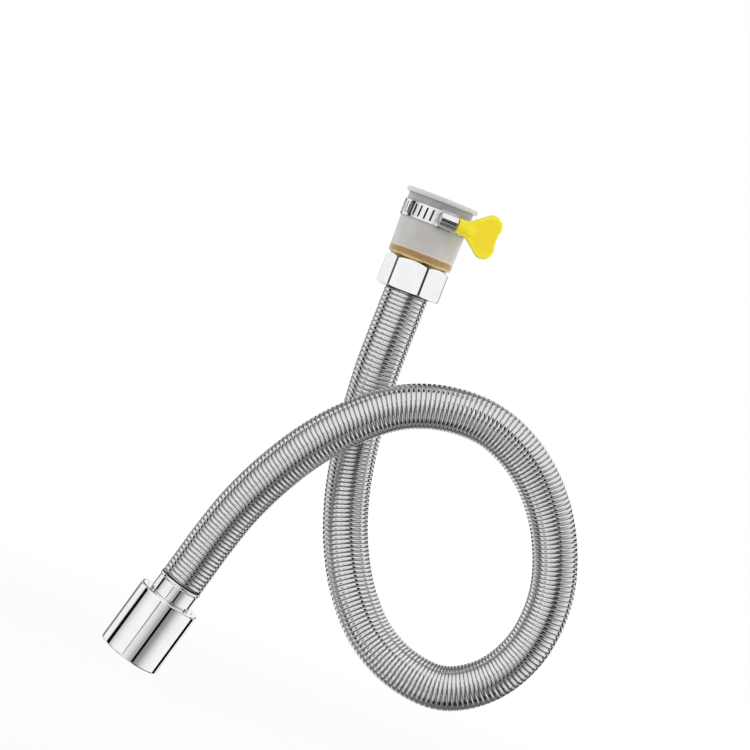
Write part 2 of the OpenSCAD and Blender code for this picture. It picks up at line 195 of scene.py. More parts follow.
# a moulded plastic or rubber: clouded tone, fine pebbled bump
def mouldedFinish(name, dark, light, rough, grain, bump=0.15):
    material, tree, surface, coords = startMaterial(name)
    addClouds(tree, surface, coords, mouldedGrain["clouds"], dark, light)
    pebbles = addGrain(tree, coords["Object"], grain, detail=mouldedGrain["pebbleDetail"])
    addTexture(tree, surface, pebbles, rough, bump, mouldedGrain["bumpDepth"])
    return material


# milky rubber: greyer round the spout above the clamp, tan where the brass flange glows through
# the skirt under a pale painted highlight line, and paler in the thin flange
sleeveFinish = {
    "milky": (0.495, 0.482, 0.465),
    "cloudy": (0.545, 0.532, 0.513),
    "clouds": 130,
    "cloudReach": (0.35, 0.65),   # noise that is all milky and all cloudy
    "spoutShade": (0.74, 0.755, 0.79),
    "shadeTop": -0.0050, "shadeFoot": -0.0140,
    "rim": (0.55, 0.54, 0.55),
    "rimReach": (0.0147, 0.0158),
    # pale line along the top of the tan: a painted highlight
    "paleHighlight": (0.64, 0.56, 0.455),
    "tan": (0.365, 0.222, 0.098),
    "gold": (0.72, 0.53, 0.215),
    "tanTop": -0.0235, "tanFoot": -0.0284,
    "tanWaver": 0.0012,           # how far the clouds move the tan
    "tanRise": 9.0,               # how fast it covers the milk
    "layers": ((0.0, "milky"), (0.13, "milky"), (0.20, "paleHighlight"), (0.27, "paleHighlight"), (0.42, "tan"),
               (0.80, "tan"), (1.0, "gold")),
    "scatter": (1.0, 0.92, 0.85),
    "pebbles": 1400,
    "rough": (0.34, 0.5),
    "bump": (0.12, 0.00004),
}


def sleeveMaterial():
    s = sleeveFinish
    material, tree, surface, coords = startMaterial(
        "milkySleeve", Subsurface_Weight=0.7, Subsurface_Scale=0.005, IOR=1.43,
        Sheen_Weight=0.8, Sheen_Roughness=0.4)
    surface.inputs["Subsurface Radius"].default_value = s["scatter"]
    apart = tree.nodes.new("ShaderNodeSeparateXYZ")
    tree.links.new(coords["Object"], apart.inputs[0])
    height = apart.outputs["Z"]
    clouds = addGrain(tree, coords["Object"], s["clouds"], detail=2.5)
    milk = addRamp(tree, clouds, list(zip(s["cloudReach"], (s["milky"], s["cloudy"]))))
    shade = addRange(tree, height, s["shadeFoot"], s["shadeTop"])
    spout = addMix(tree, shade, milk, (*s["spoutShade"], 1), "MULTIPLY")
    wave = addMath(tree, "MULTIPLY_ADD", clouds, s["tanWaver"], height)
    depth = addRange(tree, wave, s["tanTop"], s["tanFoot"])
    # the tan ramp starts with the painted highlight line
    tan = addRamp(tree, depth, [(place, s[tone]) for place, tone in s["layers"]])
    share = addMath(tree, "MULTIPLY", depth, s["tanRise"], use_clamp=True)
    body = addMix(tree, share, spout, tan)
    level = addMath(tree, "MULTIPLY", coords["Object"], (1, 1, 0),
                    kind="ShaderNodeVectorMath")
    reach = addMath(tree, "LENGTH", level, kind="ShaderNodeVectorMath", output="Value")
    rim = addMix(tree, addRange(tree, reach, *s["rimReach"]), body, (*s["rim"], 1))
    tree.links.new(rim, surface.inputs["Base Color"])
    pebbles = addGrain(tree, coords["Object"], s["pebbles"])
    addTexture(tree, surface, pebbles, s["rough"], *s["bump"])
    return material


# wound steel: bright crests, painted shade darkening the grooves by the rib attribute, the fine lap
# line of the strip half a rib further on, painted shade at the cut ends, a little grime and drawn
# lines
armourFinish = {
    # tone over the rib depth: bright crests, grooves darkened by painted shade
    "tones": ((0.06, (0.78, 0.765, 0.77)), (0.34, (0.71, 0.695, 0.70)), (0.62, 0.58), (0.95, 0.40)),
    "lap": ((0.46, 1.0), (0.52, 0.55), (0.60, 0.48), (0.66, 0.92), (0.70, 1.0)),
    "clouds": 240,
    "stain": 0.14,
    # near black at both cut ends: painted shade
    "cut": (0.03, 0.03, 0.032),
    "lines": (60, (40, 3, 1)),
    "rough": (0.04, 0.09),
    "grooveStart": 0.12,
    "grooveRough": 1.1,
    "bump": (0.04, 0.00003),
}


def armourMaterial():
    a = armourFinish
    material, tree, surface, coords = startMaterial("woundSteel", Metallic=1.0)
    rib = addAttribute(tree, "ribDepth")
    clouds = addGrain(tree, coords["Object"], a["clouds"])
    # the rib depth darkens the grooves: painted shade, with a little grime from the clouds
    tone = addRamp(tree, addMath(tree, "MULTIPLY_ADD", clouds, a["stain"], rib), a["tones"])
    lap = addRamp(tree, addMath(tree, "FRACT", addAttribute(tree, "ribCount")), a["lap"])
    wound = addMix(tree, 1.0, tone, lap, "MULTIPLY")
    # painted shade at both cut ends
    ends = addMix(tree, addAttribute(tree, "cutEndShade"), wound, (*a["cut"], 1))
    tree.links.new(ends, surface.inputs["Base Color"])
    lines = addGrain(tree, coords["UV"], *a["lines"])
    groove = addRange(tree, rib, a["grooveStart"], 1.0)
    drawn = addRange(tree, lines, *noiseReach, *a["rough"])
    overlaid = addMath(tree, "MULTIPLY_ADD", groove, a["grooveRough"], drawn)
    tree.links.new(overlaid, surface.inputs["Roughness"])
    addBump(tree, surface, lines, *a["bump"])
    return material


# yellow plastic: lemon at the thin edges, warmer in the thick middle
keyFinish = {
    "tones": ((0.08, (0.83, 0.665, 0.012)), (0.35, (0.83, 0.68, 0.012)),
              (1.0, (0.85, 0.77, 0.038))),
    "clouds": 200,
    "cloudShare": 0.25,
    "pebbles": 1800,
    "rough": (0.36, 0.48),
    "bump": (0.12, 0.00004),
}


def keyMaterial():
    k = keyFinish
    material, tree, surface, coords = startMaterial(
        "yellowPlastic", Subsurface_Weight=0.1, Subsurface_Scale=0.001, IOR=1.49)
    clouds = addGrain(tree, coords["Object"], k["clouds"], detail=2.0)
    edge = addAttribute(tree, "edgeNearness")
    mixed = addMath(tree, "MULTIPLY_ADD", clouds, k["cloudShare"], edge)
    tree.links.new(addRamp(tree, mixed, k["tones"]), surface.inputs["Base Color"])
    pebbles = addGrain(tree, coords["Object"], k["pebbles"])
    addTexture(tree, surface, pebbles, k["rough"], *k["bump"])
    return material


# bright plate, with a painted dark reflection laid as a line along the upright edges
nutFinish = {
    "dark": (0.88, 0.88, 0.885), "light": (0.95, 0.95, 0.95),
    "rough": (0.03, 0.07), "grain": 500,
    # tone of the painted dark reflection along the upright edges
    "edge": (0.09, 0.09, 0.092),
}


def nutMaterial():
    n = nutFinish
    material = metalFinish("nutChrome", n["dark"], n["light"], n["rough"], n["grain"])
    tree = material.node_tree
    surface = tree.nodes["Principled BSDF"]
    plate = surface.inputs["Base Color"].links[0].from_socket
    # painted dark reflection along the upright edges, laid over the plate
    overlaid = addMix(tree, addAttribute(tree, "paintedEdgeReflection"), plate, (*n["edge"], 1))
    tree.links.new(overlaid, surface.inputs["Base Color"])
    return material


outletLean = (7, 15)                          # degrees about x and y
outletTurn = (*-np.radians(outletLean), 0)    # back to the outlet's own axis
finishes = {
    "sleeve": sleeveMaterial(),
    "armour": armourMaterial(),
    "key": keyMaterial(),
    "nut": nutMaterial(),
    "collar": metalFinish(
        "collarChrome", (0.90, 0.90, 0.905), (0.95, 0.95, 0.955), (0.025, 0.055), 700, (1, 1, 6),
        outletTurn, 0.03),
    "ferrule": metalFinish(
        "ferruleChrome", (0.86, 0.86, 0.87), (0.94, 0.94, 0.945), (0.04, 0.09), 700, (1, 1, 6),
        outletTurn),
    "band": metalFinish(
        "bandSteel", (0.80, 0.80, 0.81), (0.92, 0.92, 0.925), (0.08, 0.17), 500, (1, 1, 14),
        bump=0.08),
    # near black: painted shade for the sheet seen through the slots
    "slot": metalFinish("slotShade", (0.02, 0.02, 0.022), (0.05, 0.05, 0.052), (0.35, 0.55), 900),
    "housing": metalFinish(
        "housingSteel", (0.84, 0.84, 0.86), (0.92, 0.92, 0.93), (0.09, 0.13), 400, bump=0.02),
    "screw": metalFinish(
        "zincPlate", (0.55, 0.56, 0.58), (0.72, 0.73, 0.76), (0.18, 0.32), 900, bump=0.12),
    "brass": metalFinish(
        "turnedBrass", (0.62, 0.40, 0.16), (0.78, 0.56, 0.27), (0.16, 0.28), 600, (1, 1, 12),
        bump=0.12),
    "mesh": metalFinish(
        "screenSteel", (0.52, 0.52, 0.53), (0.66, 0.66, 0.67), (0.2, 0.35), 1200, bump=0.1),
    "washer": mouldedFinish(
        "blackRubber", (0.012, 0.012, 0.013), (0.03, 0.03, 0.031), (0.5, 0.75), 1500, 0.3),
    "tube": mouldedFinish(
        "tubeRubber", (0.03, 0.03, 0.032), (0.055, 0.055, 0.058), (0.4, 0.6), 900, 0.2),
    "nylon": mouldedFinish(
        "whiteNylon", (0.66, 0.66, 0.64), (0.76, 0.76, 0.745), (0.38, 0.52), 1300),
}
print("finishes made:", len(finishes))


# surfaces

weld = 1e-6                   # corners nearer than this are one
cornerShare = 0.42            # most of a side that a softened corner may take
guardReach = 1.15             # how far beyond its curve a corner is guarded


# quads between neighbouring rows and columns of a grid of points; a closed way joins its last
# line to its first, and marks are values kept at the points
def gridMesh(name, grid, closedRows=False, closedColumns=False, marks=None, leaveOut=None):
    rows, columns = grid.shape[:2]
    r, c = np.meshgrid(np.arange(rows if closedRows else rows - 1),
                       np.arange(columns if closedColumns else columns - 1), indexing="ij")
    if leaveOut is not None:
        kept = ~leaveOut
        r, c = r[kept], c[kept]
    r, c = r.ravel(), c.ravel()
    nextRow, nextColumn = (r + 1) % rows, (c + 1) % columns
    quads = np.stack([r * columns + c, r * columns + nextColumn,
                      nextRow * columns + nextColumn, nextRow * columns + c], axis=1)
    mesh = bpy.data.meshes.new(name)
    mesh.vertices.add(rows * columns)
    mesh.vertices.foreach_set("co", grid.astype(np.float32).ravel())
    mesh.loops.add(quads.size)
    mesh.loops.foreach_set("vertex_index", quads.astype(np.int32).ravel())
    mesh.polygons.add(len(quads))
    mesh.polygons.foreach_set("loop_start", np.arange(0, quads.size, 4, dtype=np.int32))
    across, along = 1 / max(columns, 1), 1 / max(rows, 1)
    corners = np.stack([np.stack([(c + right) * across, (r + up) * along], 1)
                        for right, up in ((0, 0), (1, 0), (1, 1), (0, 1))], axis=1)
    mesh.uv_layers.new(name="UVMap").data.foreach_set("uv", corners.astype(np.float32).ravel())
    for mark, values in (marks or {}).items():
        mesh.attributes.new(mark, "FLOAT", "POINT").data.foreach_set(
            "value", np.asarray(values, np.float32).ravel())
    mesh.update(calc_edges=True)
    return mesh


# a grid that closes both ways
def ringMesh(name, grid, marks=None):
    return gridMesh(name, grid, closedRows=True, closedColumns=True, marks=marks)


def addPiece(name, mesh, body, finish, replaces=(), sharp=None):
    shape = bmesh.new()
    shape.from_mesh(mesh)
    bmesh.ops.remove_doubles(shape, verts=shape.verts, dist=weld)
    bmesh.ops.dissolve_degenerate(shape, edges=shape.edges, dist=weld / 10)
    if shape.calc_volume(signed=True) < 0:
        bmesh.ops.reverse_faces(shape, faces=shape.faces)
    openEdges = sum(not edge.is_manifold for edge in shape.edges)
    shape.to_mesh(mesh)
    shape.free()
    mesh.shade_smooth()
    if sharp:
        mesh.set_sharp_from_angle(angle=np.radians(sharp))
    mesh.materials.clear()
    mesh.materials.append(finishes[finish])
    piece = addObject(name, mesh)
    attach(piece, body)
    if replaces:
        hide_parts(*replaces)
    print(f"{name}: {len(mesh.polygons)} faces, {openEdges} open edges")
    return piece


# each corner of a closed outline is cut back by its own length and rejoined by a quadratic
# curve, with a guard point on either side that keeps the straight stretches straight
def softOutline(corners, steps=6):
    corners = np.asarray(corners, float)
    point, cut = corners[:, :2], corners[:, 2:3]
    back, ahead = np.roll(point, 1, axis=0) - point, np.roll(point, -1, axis=0) - point
    backLength = np.linalg.norm(back, axis=1, keepdims=True)
    aheadLength = np.linalg.norm(ahead, axis=1, keepdims=True)
    cut = np.minimum(cut, cornerShare * np.minimum(backLength, aheadLength))
    toBack, toAhead = back / backLength * cut, ahead / aheadLength * cut
    start, end = point + toBack, point + toAhead
    t = np.linspace(0, 1, steps)[None, :, None]
    start, point, end = start[:, None], point[:, None], end[:, None]
    curve = (1 - t) ** 2 * start + 2 * t * (1 - t) * point + t ** 2 * end
    before, beyond = (point + way[:, None] * guardReach for way in (toBack, toAhead))
    return np.concatenate([before, curve, beyond], axis=1).reshape(-1, 2)


# the angles of columns set evenly round an axis
def anglesRound(columns):
    return np.arange(columns) * fullTurn / columns


# a closed outline of radius and height in mm, swept once round an axis
def latheGrid(outline, columns, place=None):
    angle = anglesRound(columns)
    radius, height = outline[:, :1] * mm, outline[:, 1:2] * mm
    grid = np.stack([radius * np.cos(angle), radius * np.sin(angle),
                     height + 0 * angle], axis=-1)
    return grid if place is None else placed(grid, place)


def placed(grid, place):
    turn, origin = place
    return grid @ turn.T + origin


def turnAbout(axis, degrees):
    return np.array(Matrix.Rotation(np.radians(degrees), 3, axis))


hoseEnd = np.array([-45, -2.5, -194.5])                 # mm
outletPlace = (turnAbout("Y", outletLean[1]) @ turnAbout("X", outletLean[0]), hoseEnd * mm)
clampPlace = (turnAbout("Z", 16), np.array([0, 0, -9.1]) * mm)


# hose

hose = {
    "diameter": 0.0194,
    "top": -43.45,                # mm, just under the nut
    "straightTop": -43.7,         # mm, where the straight points are counted from
    "straightStep": 11.64,        # mm between the points of the straight ends
    "ribs": 262, "ribHeight": 0.0006, "ribRoundness": 3.2,
    "ribPlaces": (0.0, 0.05, 0.14, 0.34, 0.66, 0.86, 0.95),
    "columns": 48, "curveSteps": 12,
    "cutShade": 0.0007,           # how far a cut end is darkened
    "cutFade": 0.3,               # share of that in which the shade fades
    "endHeight": 0.5,             # share of the ribs' height at a cut end
    "boreRadius": 0.0085,
    "boreRows": 60,
    "boreDepth": 0.9,             # groove shade in the bore
    "tubeRadius": 0.00755, "tubeBore": 0.00575,
    "tubeRows": 120, "tubeColumns": 40,
    "tubeEnds": (0.0009, 0.0001),     # from either end of the armour
    "route": (                    # mm
        (0.3, 1.5, -81.5), (1.9, 5.5, -101), (4.5, 8.5, -119.5), (8.8, 9, -138), (15.5, 8, -155.5),
        (25.5, 6, -172.5), (39.5, 4, -187), (57, 2, -195.5), (76.5, 0, -196.5), (93, -2, -186),
        (103, -4, -168.5), (105.5, -6, -148.5), (101.5, -8, -129), (91, -10, -109),
        (75, -13, -93), (55.5, -15.5, -84), (35, -17, -83.7), (15.6, -17.5, -90.3),
        (-0.5, -17, -103), (-14.2, -15, -118.9), (-25.7, -11.5, -137.9), (-33.7, -8, -155.6),
    ),
}


# Catmull-Rom curve: between two route points a cubic blend of them and their neighbours
def hoseCurve():
    outletAxis = -outletPlace[0][:, 2]
    steps = np.arange(3)[:, None] * hose["straightStep"]
    start = np.array([[0, 0, hose["straightTop"]]]) - steps * [0, 0, 1]
    start[0, 2] = hose["top"]
    end = hoseEnd - steps[::-1] * outletAxis
    route = np.concatenate([start, np.array(hose["route"], float), end]) * mm
    knots = np.concatenate([[2 * route[0] - route[1]], route, [2 * route[-1] - route[-2]]])
    t = (np.arange(hose["curveSteps"]) / hose["curveSteps"])[None, :, None]
    a, b, c, d = (knots[k:len(knots) - 3 + k, None] for k in range(4))
    curve = (2 * b + (c - a) * t + (2 * a - 5 * b + 4 * c - d) * t ** 2
             + (3 * b - a - 3 * c + d) * t ** 3) / 2
    curve = np.concatenate([curve.reshape(-1, 3), route[-1:]])
    run = np.concatenate([[0], np.cumsum(np.linalg.norm(np.diff(curve, axis=0), axis=1))])
    return curve, run


def alongHose(s):
    return np.stack([np.interp(s, hoseRun, hoseLine[:, k]) for k in range(3)], axis=-1)


# the ring at s has its centre on the curve, one axis as near to +Y as it can be and the other
# square to both
def hoseFrame(s):
    reach = hose["diameter"] / 6
    heading = alongHose(s + reach) - alongHose(s - reach)
    heading /= np.linalg.norm(heading, axis=-1, keepdims=True)
    side = np.array([0, 1, 0]) - heading[..., 1:2] * heading
    side /= np.linalg.norm(side, axis=-1, keepdims=True)
    return alongHose(s), side, np.cross(heading, side)


hoseLine, hoseRun = hoseCurve()
hoseLength = hoseRun[-1]


# point(s, angle) = centre(s) + radius * (cos(angle) * side + sin(angle) * other side)
def tubeGrid(s, angle, radius):
    centre, side, other = hoseFrame(s)
    radius = radius[..., None]
    return centre + radius * (np.cos(angle)[..., None] * side + np.sin(angle)[..., None] * other)


# wound armour: s falls back by one pitch over a full turn, so the ribs run in a helix, and the
# rib's height over its pitch is a flattened half circle; both ends are cut square
def addHose():
    h = hose
    pitch = hoseLength / h["ribs"]
    places = (np.arange(h["ribs"] + 1)[:, None] + np.array(h["ribPlaces"])).ravel()
    angle = anglesRound(h["columns"])
    count = places[:, None] - angle / fullTurn
    s = count * pitch
    phase = count + angle / fullTurn - np.floor(places)[:, None]
    height = (1 - np.abs(2 * phase - 1) ** h["ribRoundness"]) ** (1 / h["ribRoundness"])
    outside = (s <= 0) | (s >= hoseLength)
    height = np.where(outside, h["endHeight"], height)
    radius = h["diameter"] / 2 - h["ribHeight"] * (1 - height)
    sBore = np.repeat(np.linspace(hoseLength, 0, h["boreRows"])[:, None], len(angle), axis=1)
    s = np.concatenate([np.clip(s, 0, hoseLength), sBore])
    radius = np.concatenate([radius, np.full(sBore.shape, h["boreRadius"])])
    depth = np.concatenate([1 - height, np.full(sBore.shape, h["boreDepth"])])
    count = np.concatenate([count, np.zeros(sBore.shape)])
    # painted shade at both cut ends of the armour
    fromEnd = np.minimum(s, hoseLength - s)
    cutEndShade = np.clip((h["cutShade"] - fromEnd) / (h["cutFade"] * h["cutShade"]), 0, 1)
    grid = tubeGrid(s, np.broadcast_to(angle, s.shape), radius)
    marks = {"ribDepth": depth, "ribCount": count, "cutEndShade": cutEndShade}
    mesh = ringMesh("hoseArmour", grid, marks)
    return addPiece("hoseArmour", mesh, "hose", "armour", ["hose_armour"])


# rubber tube: out along its outer wall and back along its bore
def addTube():
    h = hose
    angle = anglesRound(h["tubeColumns"])
    out = np.linspace(h["tubeEnds"][0], hoseLength - h["tubeEnds"][1], h["tubeRows"])
    s = np.repeat(np.concatenate([out, out[::-1]])[:, None], len(angle), axis=1)
    outside = np.arange(len(s))[:, None] < h["tubeRows"]
    radius = np.where(outside, h["tubeRadius"], h["tubeBore"]) + 0 * s
    grid = tubeGrid(s, np.broadcast_to(angle, s.shape), radius)
    mesh = ringMesh("innerTube", grid)
    return addPiece("innerTube", mesh, "hose", "tube", ["inner_tube"])


hoseArmour = addHose()
innerTube = addTube()
print("hose length", round(float(hoseLength), 4), "m")


# sleeve

sleeve = {
    "columns": 144,
    "outline": (                  # radius, height, corner cut-back, all in mm
        (10.5, 0, 0.35), (16.15, 0, 0.7), (16.15, -2.1, 0.6), (14.6, -2.1, 0.3),
        (14.6, -12.95, 1.2), (14.15, -29.0, 0.35), (12.95, -29.0, 0.25), (12.95, -25.5, 0.3),
        (8.05, -25.5, 0.2), (8.05, -20.0, 0.2), (10.1, -20.0, 0.2), (10.1, -18.0, 0.1),
        (10.5, -18.0, 0.1),
    ),
    "body": 14.6,                 # radius where the flange begins
    "waver": 0.05,                # mm that the soft flange's rim wavers
    "waves": ((0.6, 3, 0.5), (0.4, 7, 0)),     # share, number round the rim and shift of each
}


# lathe outline whose radius beyond the body wavers round the rim by a sum of sines
def addSleeve():
    outline = softOutline(sleeve["outline"], 7)
    grid = latheGrid(outline, sleeve["columns"])
    angle = anglesRound(sleeve["columns"])
    rim = np.clip((outline[:, :1] - sleeve["body"]) / (outline[:, 0].max() - sleeve["body"]), 0, 1)
    wave = sum((share * np.sin(number * angle + shift)
                for share, number, shift in sleeve["waves"]), 1) / 2
    waver = -sleeve["waver"] * mm * rim * wave
    grid[..., 0] += waver * np.cos(angle)
    grid[..., 1] += waver * np.sin(angle)
    mesh = ringMesh("softSleeve", grid)
    addPiece("softSleeve", mesh, "adapter", "sleeve", ["tap_sleeve"])


addSleeve()


# threaded insert

insert = {
    "columns": 120,
    "threadRadius": 10.4, "threadDepth": 0.95, "pitch": 1.814,
    "threadTop": -29.9, "threadFoot": -36.0, "threadRows": 62,
    "core": 10.3,                 # what lies beyond this radius carries the thread
    "flank": (1.3, 0.15),         # slope of the thread's flanks, and part of the crest left flat
    "runOut": (0.6, 0.8),         # length over which the thread fades at its top and foot
    "head": ((5.5, -20.0, 0.2), (8.0, -20.0, 0.2), (8.0, -25.55, 0.15), (12.9, -25.55, 0.3),
             (12.9, -29.5, 0.4), (10.4, -29.5, 0.15)),
    "foot": ((10.0, -36.0), (9.2, -36.0), (7.0, -36.0), (5.6, -36.0), (5.5, -35.9)),
}


# the thread's radius falls from its crest by a triangle wave of height / pitch + angle / turn,
# faded out at both ends of its length
def addInsert():
    i = insert
    z = np.linspace(i["threadTop"], i["threadFoot"], i["threadRows"])
    thread = np.stack([np.full(len(z), i["threadRadius"]), z], axis=1)
    outline = np.concatenate([softOutline(i["head"], 5), thread, np.array(i["foot"])])
    grid = latheGrid(outline, i["columns"])
    height = grid[..., 2] / mm
    wave = np.abs(((height / i["pitch"] + anglesRound(i["columns"]) / fullTurn) % 1) * 2 - 1)
    fade = (np.clip((i["threadTop"] - height) / i["runOut"][0], 0, 1)
            * np.clip((height - i["threadFoot"]) / i["runOut"][1], 0, 1))
    beyondCore = np.hypot(grid[..., 0], grid[..., 1]) > i["core"] * mm
    slope, flat = i["flank"]
    fall = np.where(beyondCore, np.clip(wave * slope - flat, 0, 1) * i["threadDepth"] * fade, 0)
    grid[..., :2] *= (1 - fall / i["threadRadius"])[..., None]
    mesh = ringMesh("brassInsert", grid)
    addPiece("brassInsert", mesh, "adapter", "brass", ["threaded_insert"], 40)


addInsert()


# clamp band

clamp = {
    "outer": 15.25, "inner": 14.75, "width": 7.1,
    "tailOuter": 15.85, "tailLength": 12.0,
    # a near-black sheet just inside the band: painted shade seen through the slots
    "shadeSheetOuter": 14.74, "shadeSheetInner": 14.66, "shadeSheetInset": 0.5,
    "shadeSheetEdge": 0.02, "shadeSheetColumns": 144,
    "slots": 15, "tailSlots": 4,
    "slotPitch": 2.95, "slotWidth": 0.75, "slotLength": 5.1,
    "slant": -3.5,                # degrees that the slots lean
    "step": -4,                   # degrees between the columns of the plain stretch
    "slotRoom": 0.012,            # turn kept free beside a slot
    "leastStep": 0.004,           # columns nearer than this are one
    "slack": 1e-9,                # turn that a column may lie beyond the ends
    "rim": 0.3, "slotRows": 1.2, "edge": 0.09,
}


# strip bent round the sleeve; its columns lean by the slots' slant, and the cells of the slots
# are left out before the strip gets its thickness
def bandGrid(radius, first, last, slotCentres, halfSlot):
    c = clamp
    marks = np.concatenate([
        [first, last], slotCentres - halfSlot, slotCentres + halfSlot, slotCentres,
        slotCentres + c["slotPitch"] / c["outer"] / 2,
        np.arange(first, last, np.radians(c["step"])),
    ])
    marks = marks[(marks <= first + c["slack"]) & (marks >= last - c["slack"])]
    near = np.abs(marks[:, None] - slotCentres[None, :]).min(axis=1)
    onEdge = np.isclose(near, halfSlot) | np.isclose(near, 0)
    between = near > halfSlot + c["slotRoom"]
    marks = np.unique(np.round(marks[onEdge | between | (marks == first) | (marks == last)], 9))
    marks = marks[np.concatenate([[True], np.diff(marks) > c["leastStep"]])]
    half = c["width"] / 2
    lower = np.array([-half, -half + c["rim"], -c["slotLength"] / 2, -c["slotRows"]])
    rows = np.concatenate([lower, [0], -lower[::-1]])
    angle = marks[None, :] - rows[:, None] * np.tan(np.radians(c["slant"])) / c["outer"]
    height = rows[:, None] + 0 * angle
    grid = np.stack([radius * np.cos(angle), radius * np.sin(angle), height], -1) * mm
    middle = (marks[1:] + marks[:-1]) / 2
    inSlot = np.abs(middle[:, None] - slotCentres[None, :]).min(axis=1) < halfSlot
    rowMiddle = (rows[1:] + rows[:-1]) / 2
    return grid, (np.abs(rowMiddle) < c["slotLength"] / 2)[:, None] & inSlot[None, :]


def roundEdges(piece, width, segments, angle):
    bevel = piece.modifiers.new("edges", "BEVEL")
    bevel.width = width * mm
    bevel.segments = segments
    bevel.limit_method = "ANGLE"
    bevel.angle_limit = np.radians(angle)
    return bevel


# the strip gets its thickness inwards and rounded edges
def thicken(piece, thickness, edge):
    solid = piece.modifiers.new("thickness", "SOLIDIFY")
    solid.thickness = thickness * mm
    solid.offset = -1
    solid.use_even_offset = True
    roundEdges(piece, edge, 2, 40)


# band with its slots, the free end that lies over it, and a near-black sheet inside it: painted
# shade seen through the slots
def addBand():
    c = clamp
    step = c["slotPitch"] / c["outer"]
    tailEnd = -np.pi / 2 + c["tailLength"] / c["tailOuter"]
    centres = tailEnd - step * (np.arange(c["slots"]) + 1)
    halfSlot = c["slotWidth"] / c["outer"] / 2
    grid, slots = bandGrid(c["outer"], tailEnd, tailEnd - 2 * np.pi, centres, halfSlot)
    band = addPiece("clampBand", gridMesh("clampBand", placed(grid, clampPlace), leaveOut=slots),
                    "adapter", "band", ["clamp_band"])
    thicken(band, c["outer"] - c["inner"], c["edge"])
    grid, slots = bandGrid(c["tailOuter"], tailEnd, -np.pi / 2, centres[:c["tailSlots"]], halfSlot)
    tail = addPiece("bandTail", gridMesh("bandTail", placed(grid, clampPlace), leaveOut=slots),
                    "adapter", "band")
    thicken(tail, c["tailOuter"] - c["outer"], c["edge"])
    # the near-black sheet inside the band: painted shade seen through the slots
    half, edge = c["width"] / 2 - c["shadeSheetInset"], c["shadeSheetEdge"]
    shadeSheet = softOutline(((c["shadeSheetInner"], half, edge), (c["shadeSheetOuter"], half, edge),
                         (c["shadeSheetOuter"], -half, edge), (c["shadeSheetInner"], -half, edge)), 3)
    mesh = ringMesh("slotShadeSheet", latheGrid(shadeSheet, c["shadeSheetColumns"], clampPlace))
    addPiece("slotShadeSheet", mesh, "adapter", "slot")


addBand()


# screw housing

housing = {
    "flatWithin": 1.0,            # degrees between facets that are one flat
    "sharpFrom": 35,              # degrees from which an edge is sharp and is rounded
    "edge": 0.22,
}


# a copy of the CAD mesh, merged, with its flats made whole and its edges rounded
def addHousing():
    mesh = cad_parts["screw_housing"].data.copy()
    shape = bmesh.new()
    shape.from_mesh(mesh)
    bmesh.ops.remove_doubles(shape, verts=shape.verts, dist=2 * weld)
    bmesh.ops.dissolve_limit(shape, angle_limit=np.radians(housing["flatWithin"]),
                             verts=shape.verts, edges=shape.edges)
    shape.to_mesh(mesh)
    shape.free()
    mesh.name = "screwHousing"
    piece = addPiece("screwHousing", mesh, "adapter", "housing", ["screw_housing"],
                     housing["sharpFrom"])
    roundEdges(piece, housing["edge"], 3, housing["sharpFrom"]).harden_normals = True


addHousing()


# wing key

key = {
    "start": 4.2, "neck": 3.2, "waistX": 10.14, "waist": 4.0,
    "lobeX": 19.2, "lobeY": 5.0, "lobe": 4.8, "valleyX": 23.4,
    "neckEnd": 7.5, "neckRise": 0.1,
    "lobeTurn": (140, -28, 40),   # degrees from the waist round to the valley, and points
    "spine": (1.4, 1.8),          # mm that the middle line keeps from both ends
    "halfThickness": 1.6, "edge": 0.65, "neckFade": (8.5, 13.5),
    "thinning": (15, 9, 0.10),    # where the plate thins, over how far, and by what share
    "rows": 9,                    # over the edge, and again across the face
    "screwDrop": 18.8,
    "softness": 0.55,
    "nearness": (0.8, 0.7, 2.2),  # at the edge's last row and the face's first, and rows to 0
}


# half outline from the neck's middle over the waist and round the lobe to the valley, spaced
# evenly and softened by a Gaussian; the mirrored half closes it
def keyOutline(half=110):
    k = key
    turn = np.radians(np.linspace(*k["lobeTurn"]))
    points = np.concatenate([
        [[k["start"], 0], [k["start"], k["neck"] * 0.5], [k["start"], k["neck"]],
         [k["neckEnd"], k["neck"] + k["neckRise"]], [k["waistX"], k["waist"]]],
        np.stack([k["lobeX"] + k["lobe"] * np.cos(turn), k["lobeY"] + k["lobe"] * np.sin(turn)], 1),
        [[k["valleyX"], 0]],
    ])
    run = np.concatenate([[0], np.cumsum(np.linalg.norm(np.diff(points, axis=0), axis=1))])
    at = np.linspace(0, run[-1], half)
    upper = np.stack([np.interp(at, run, points[:, 0]), np.interp(at, run, points[:, 1])], 1)
    loop = np.concatenate([upper, upper[-2:0:-1] * [1, -1]])
    step = run[-1] / (half - 1)
    reach = np.arange(len(loop)) - len(loop) // 2
    bell = np.exp(-0.5 * (reach * step / k["softness"]) ** 2)
    bell = np.fft.rfft(np.roll(bell / bell.sum(), -(len(loop) // 2)))
    return np.stack([np.fft.irfft(np.fft.rfft(loop[:, n]) * bell, len(loop)) for n in range(2)], 1)


# face height: the wing's flat plate, or the round neck where that stands higher
def keyHeight(x, y):
    k = key
    fade = np.clip((k["neckFade"][1] - x) / (k["neckFade"][1] - k["neckFade"][0]), 0, 1)
    fade = fade * fade * (3 - 2 * fade)
    neck = np.sqrt(np.clip(k["neck"] ** 2 - y ** 2, 0, None))
    place, over, share = k["thinning"]
    plate = k["halfThickness"] * (1 - share * np.clip((x - place) / over, 0, 1) ** 2)
    return plate + np.clip(neck - plate, 0, None) * fade


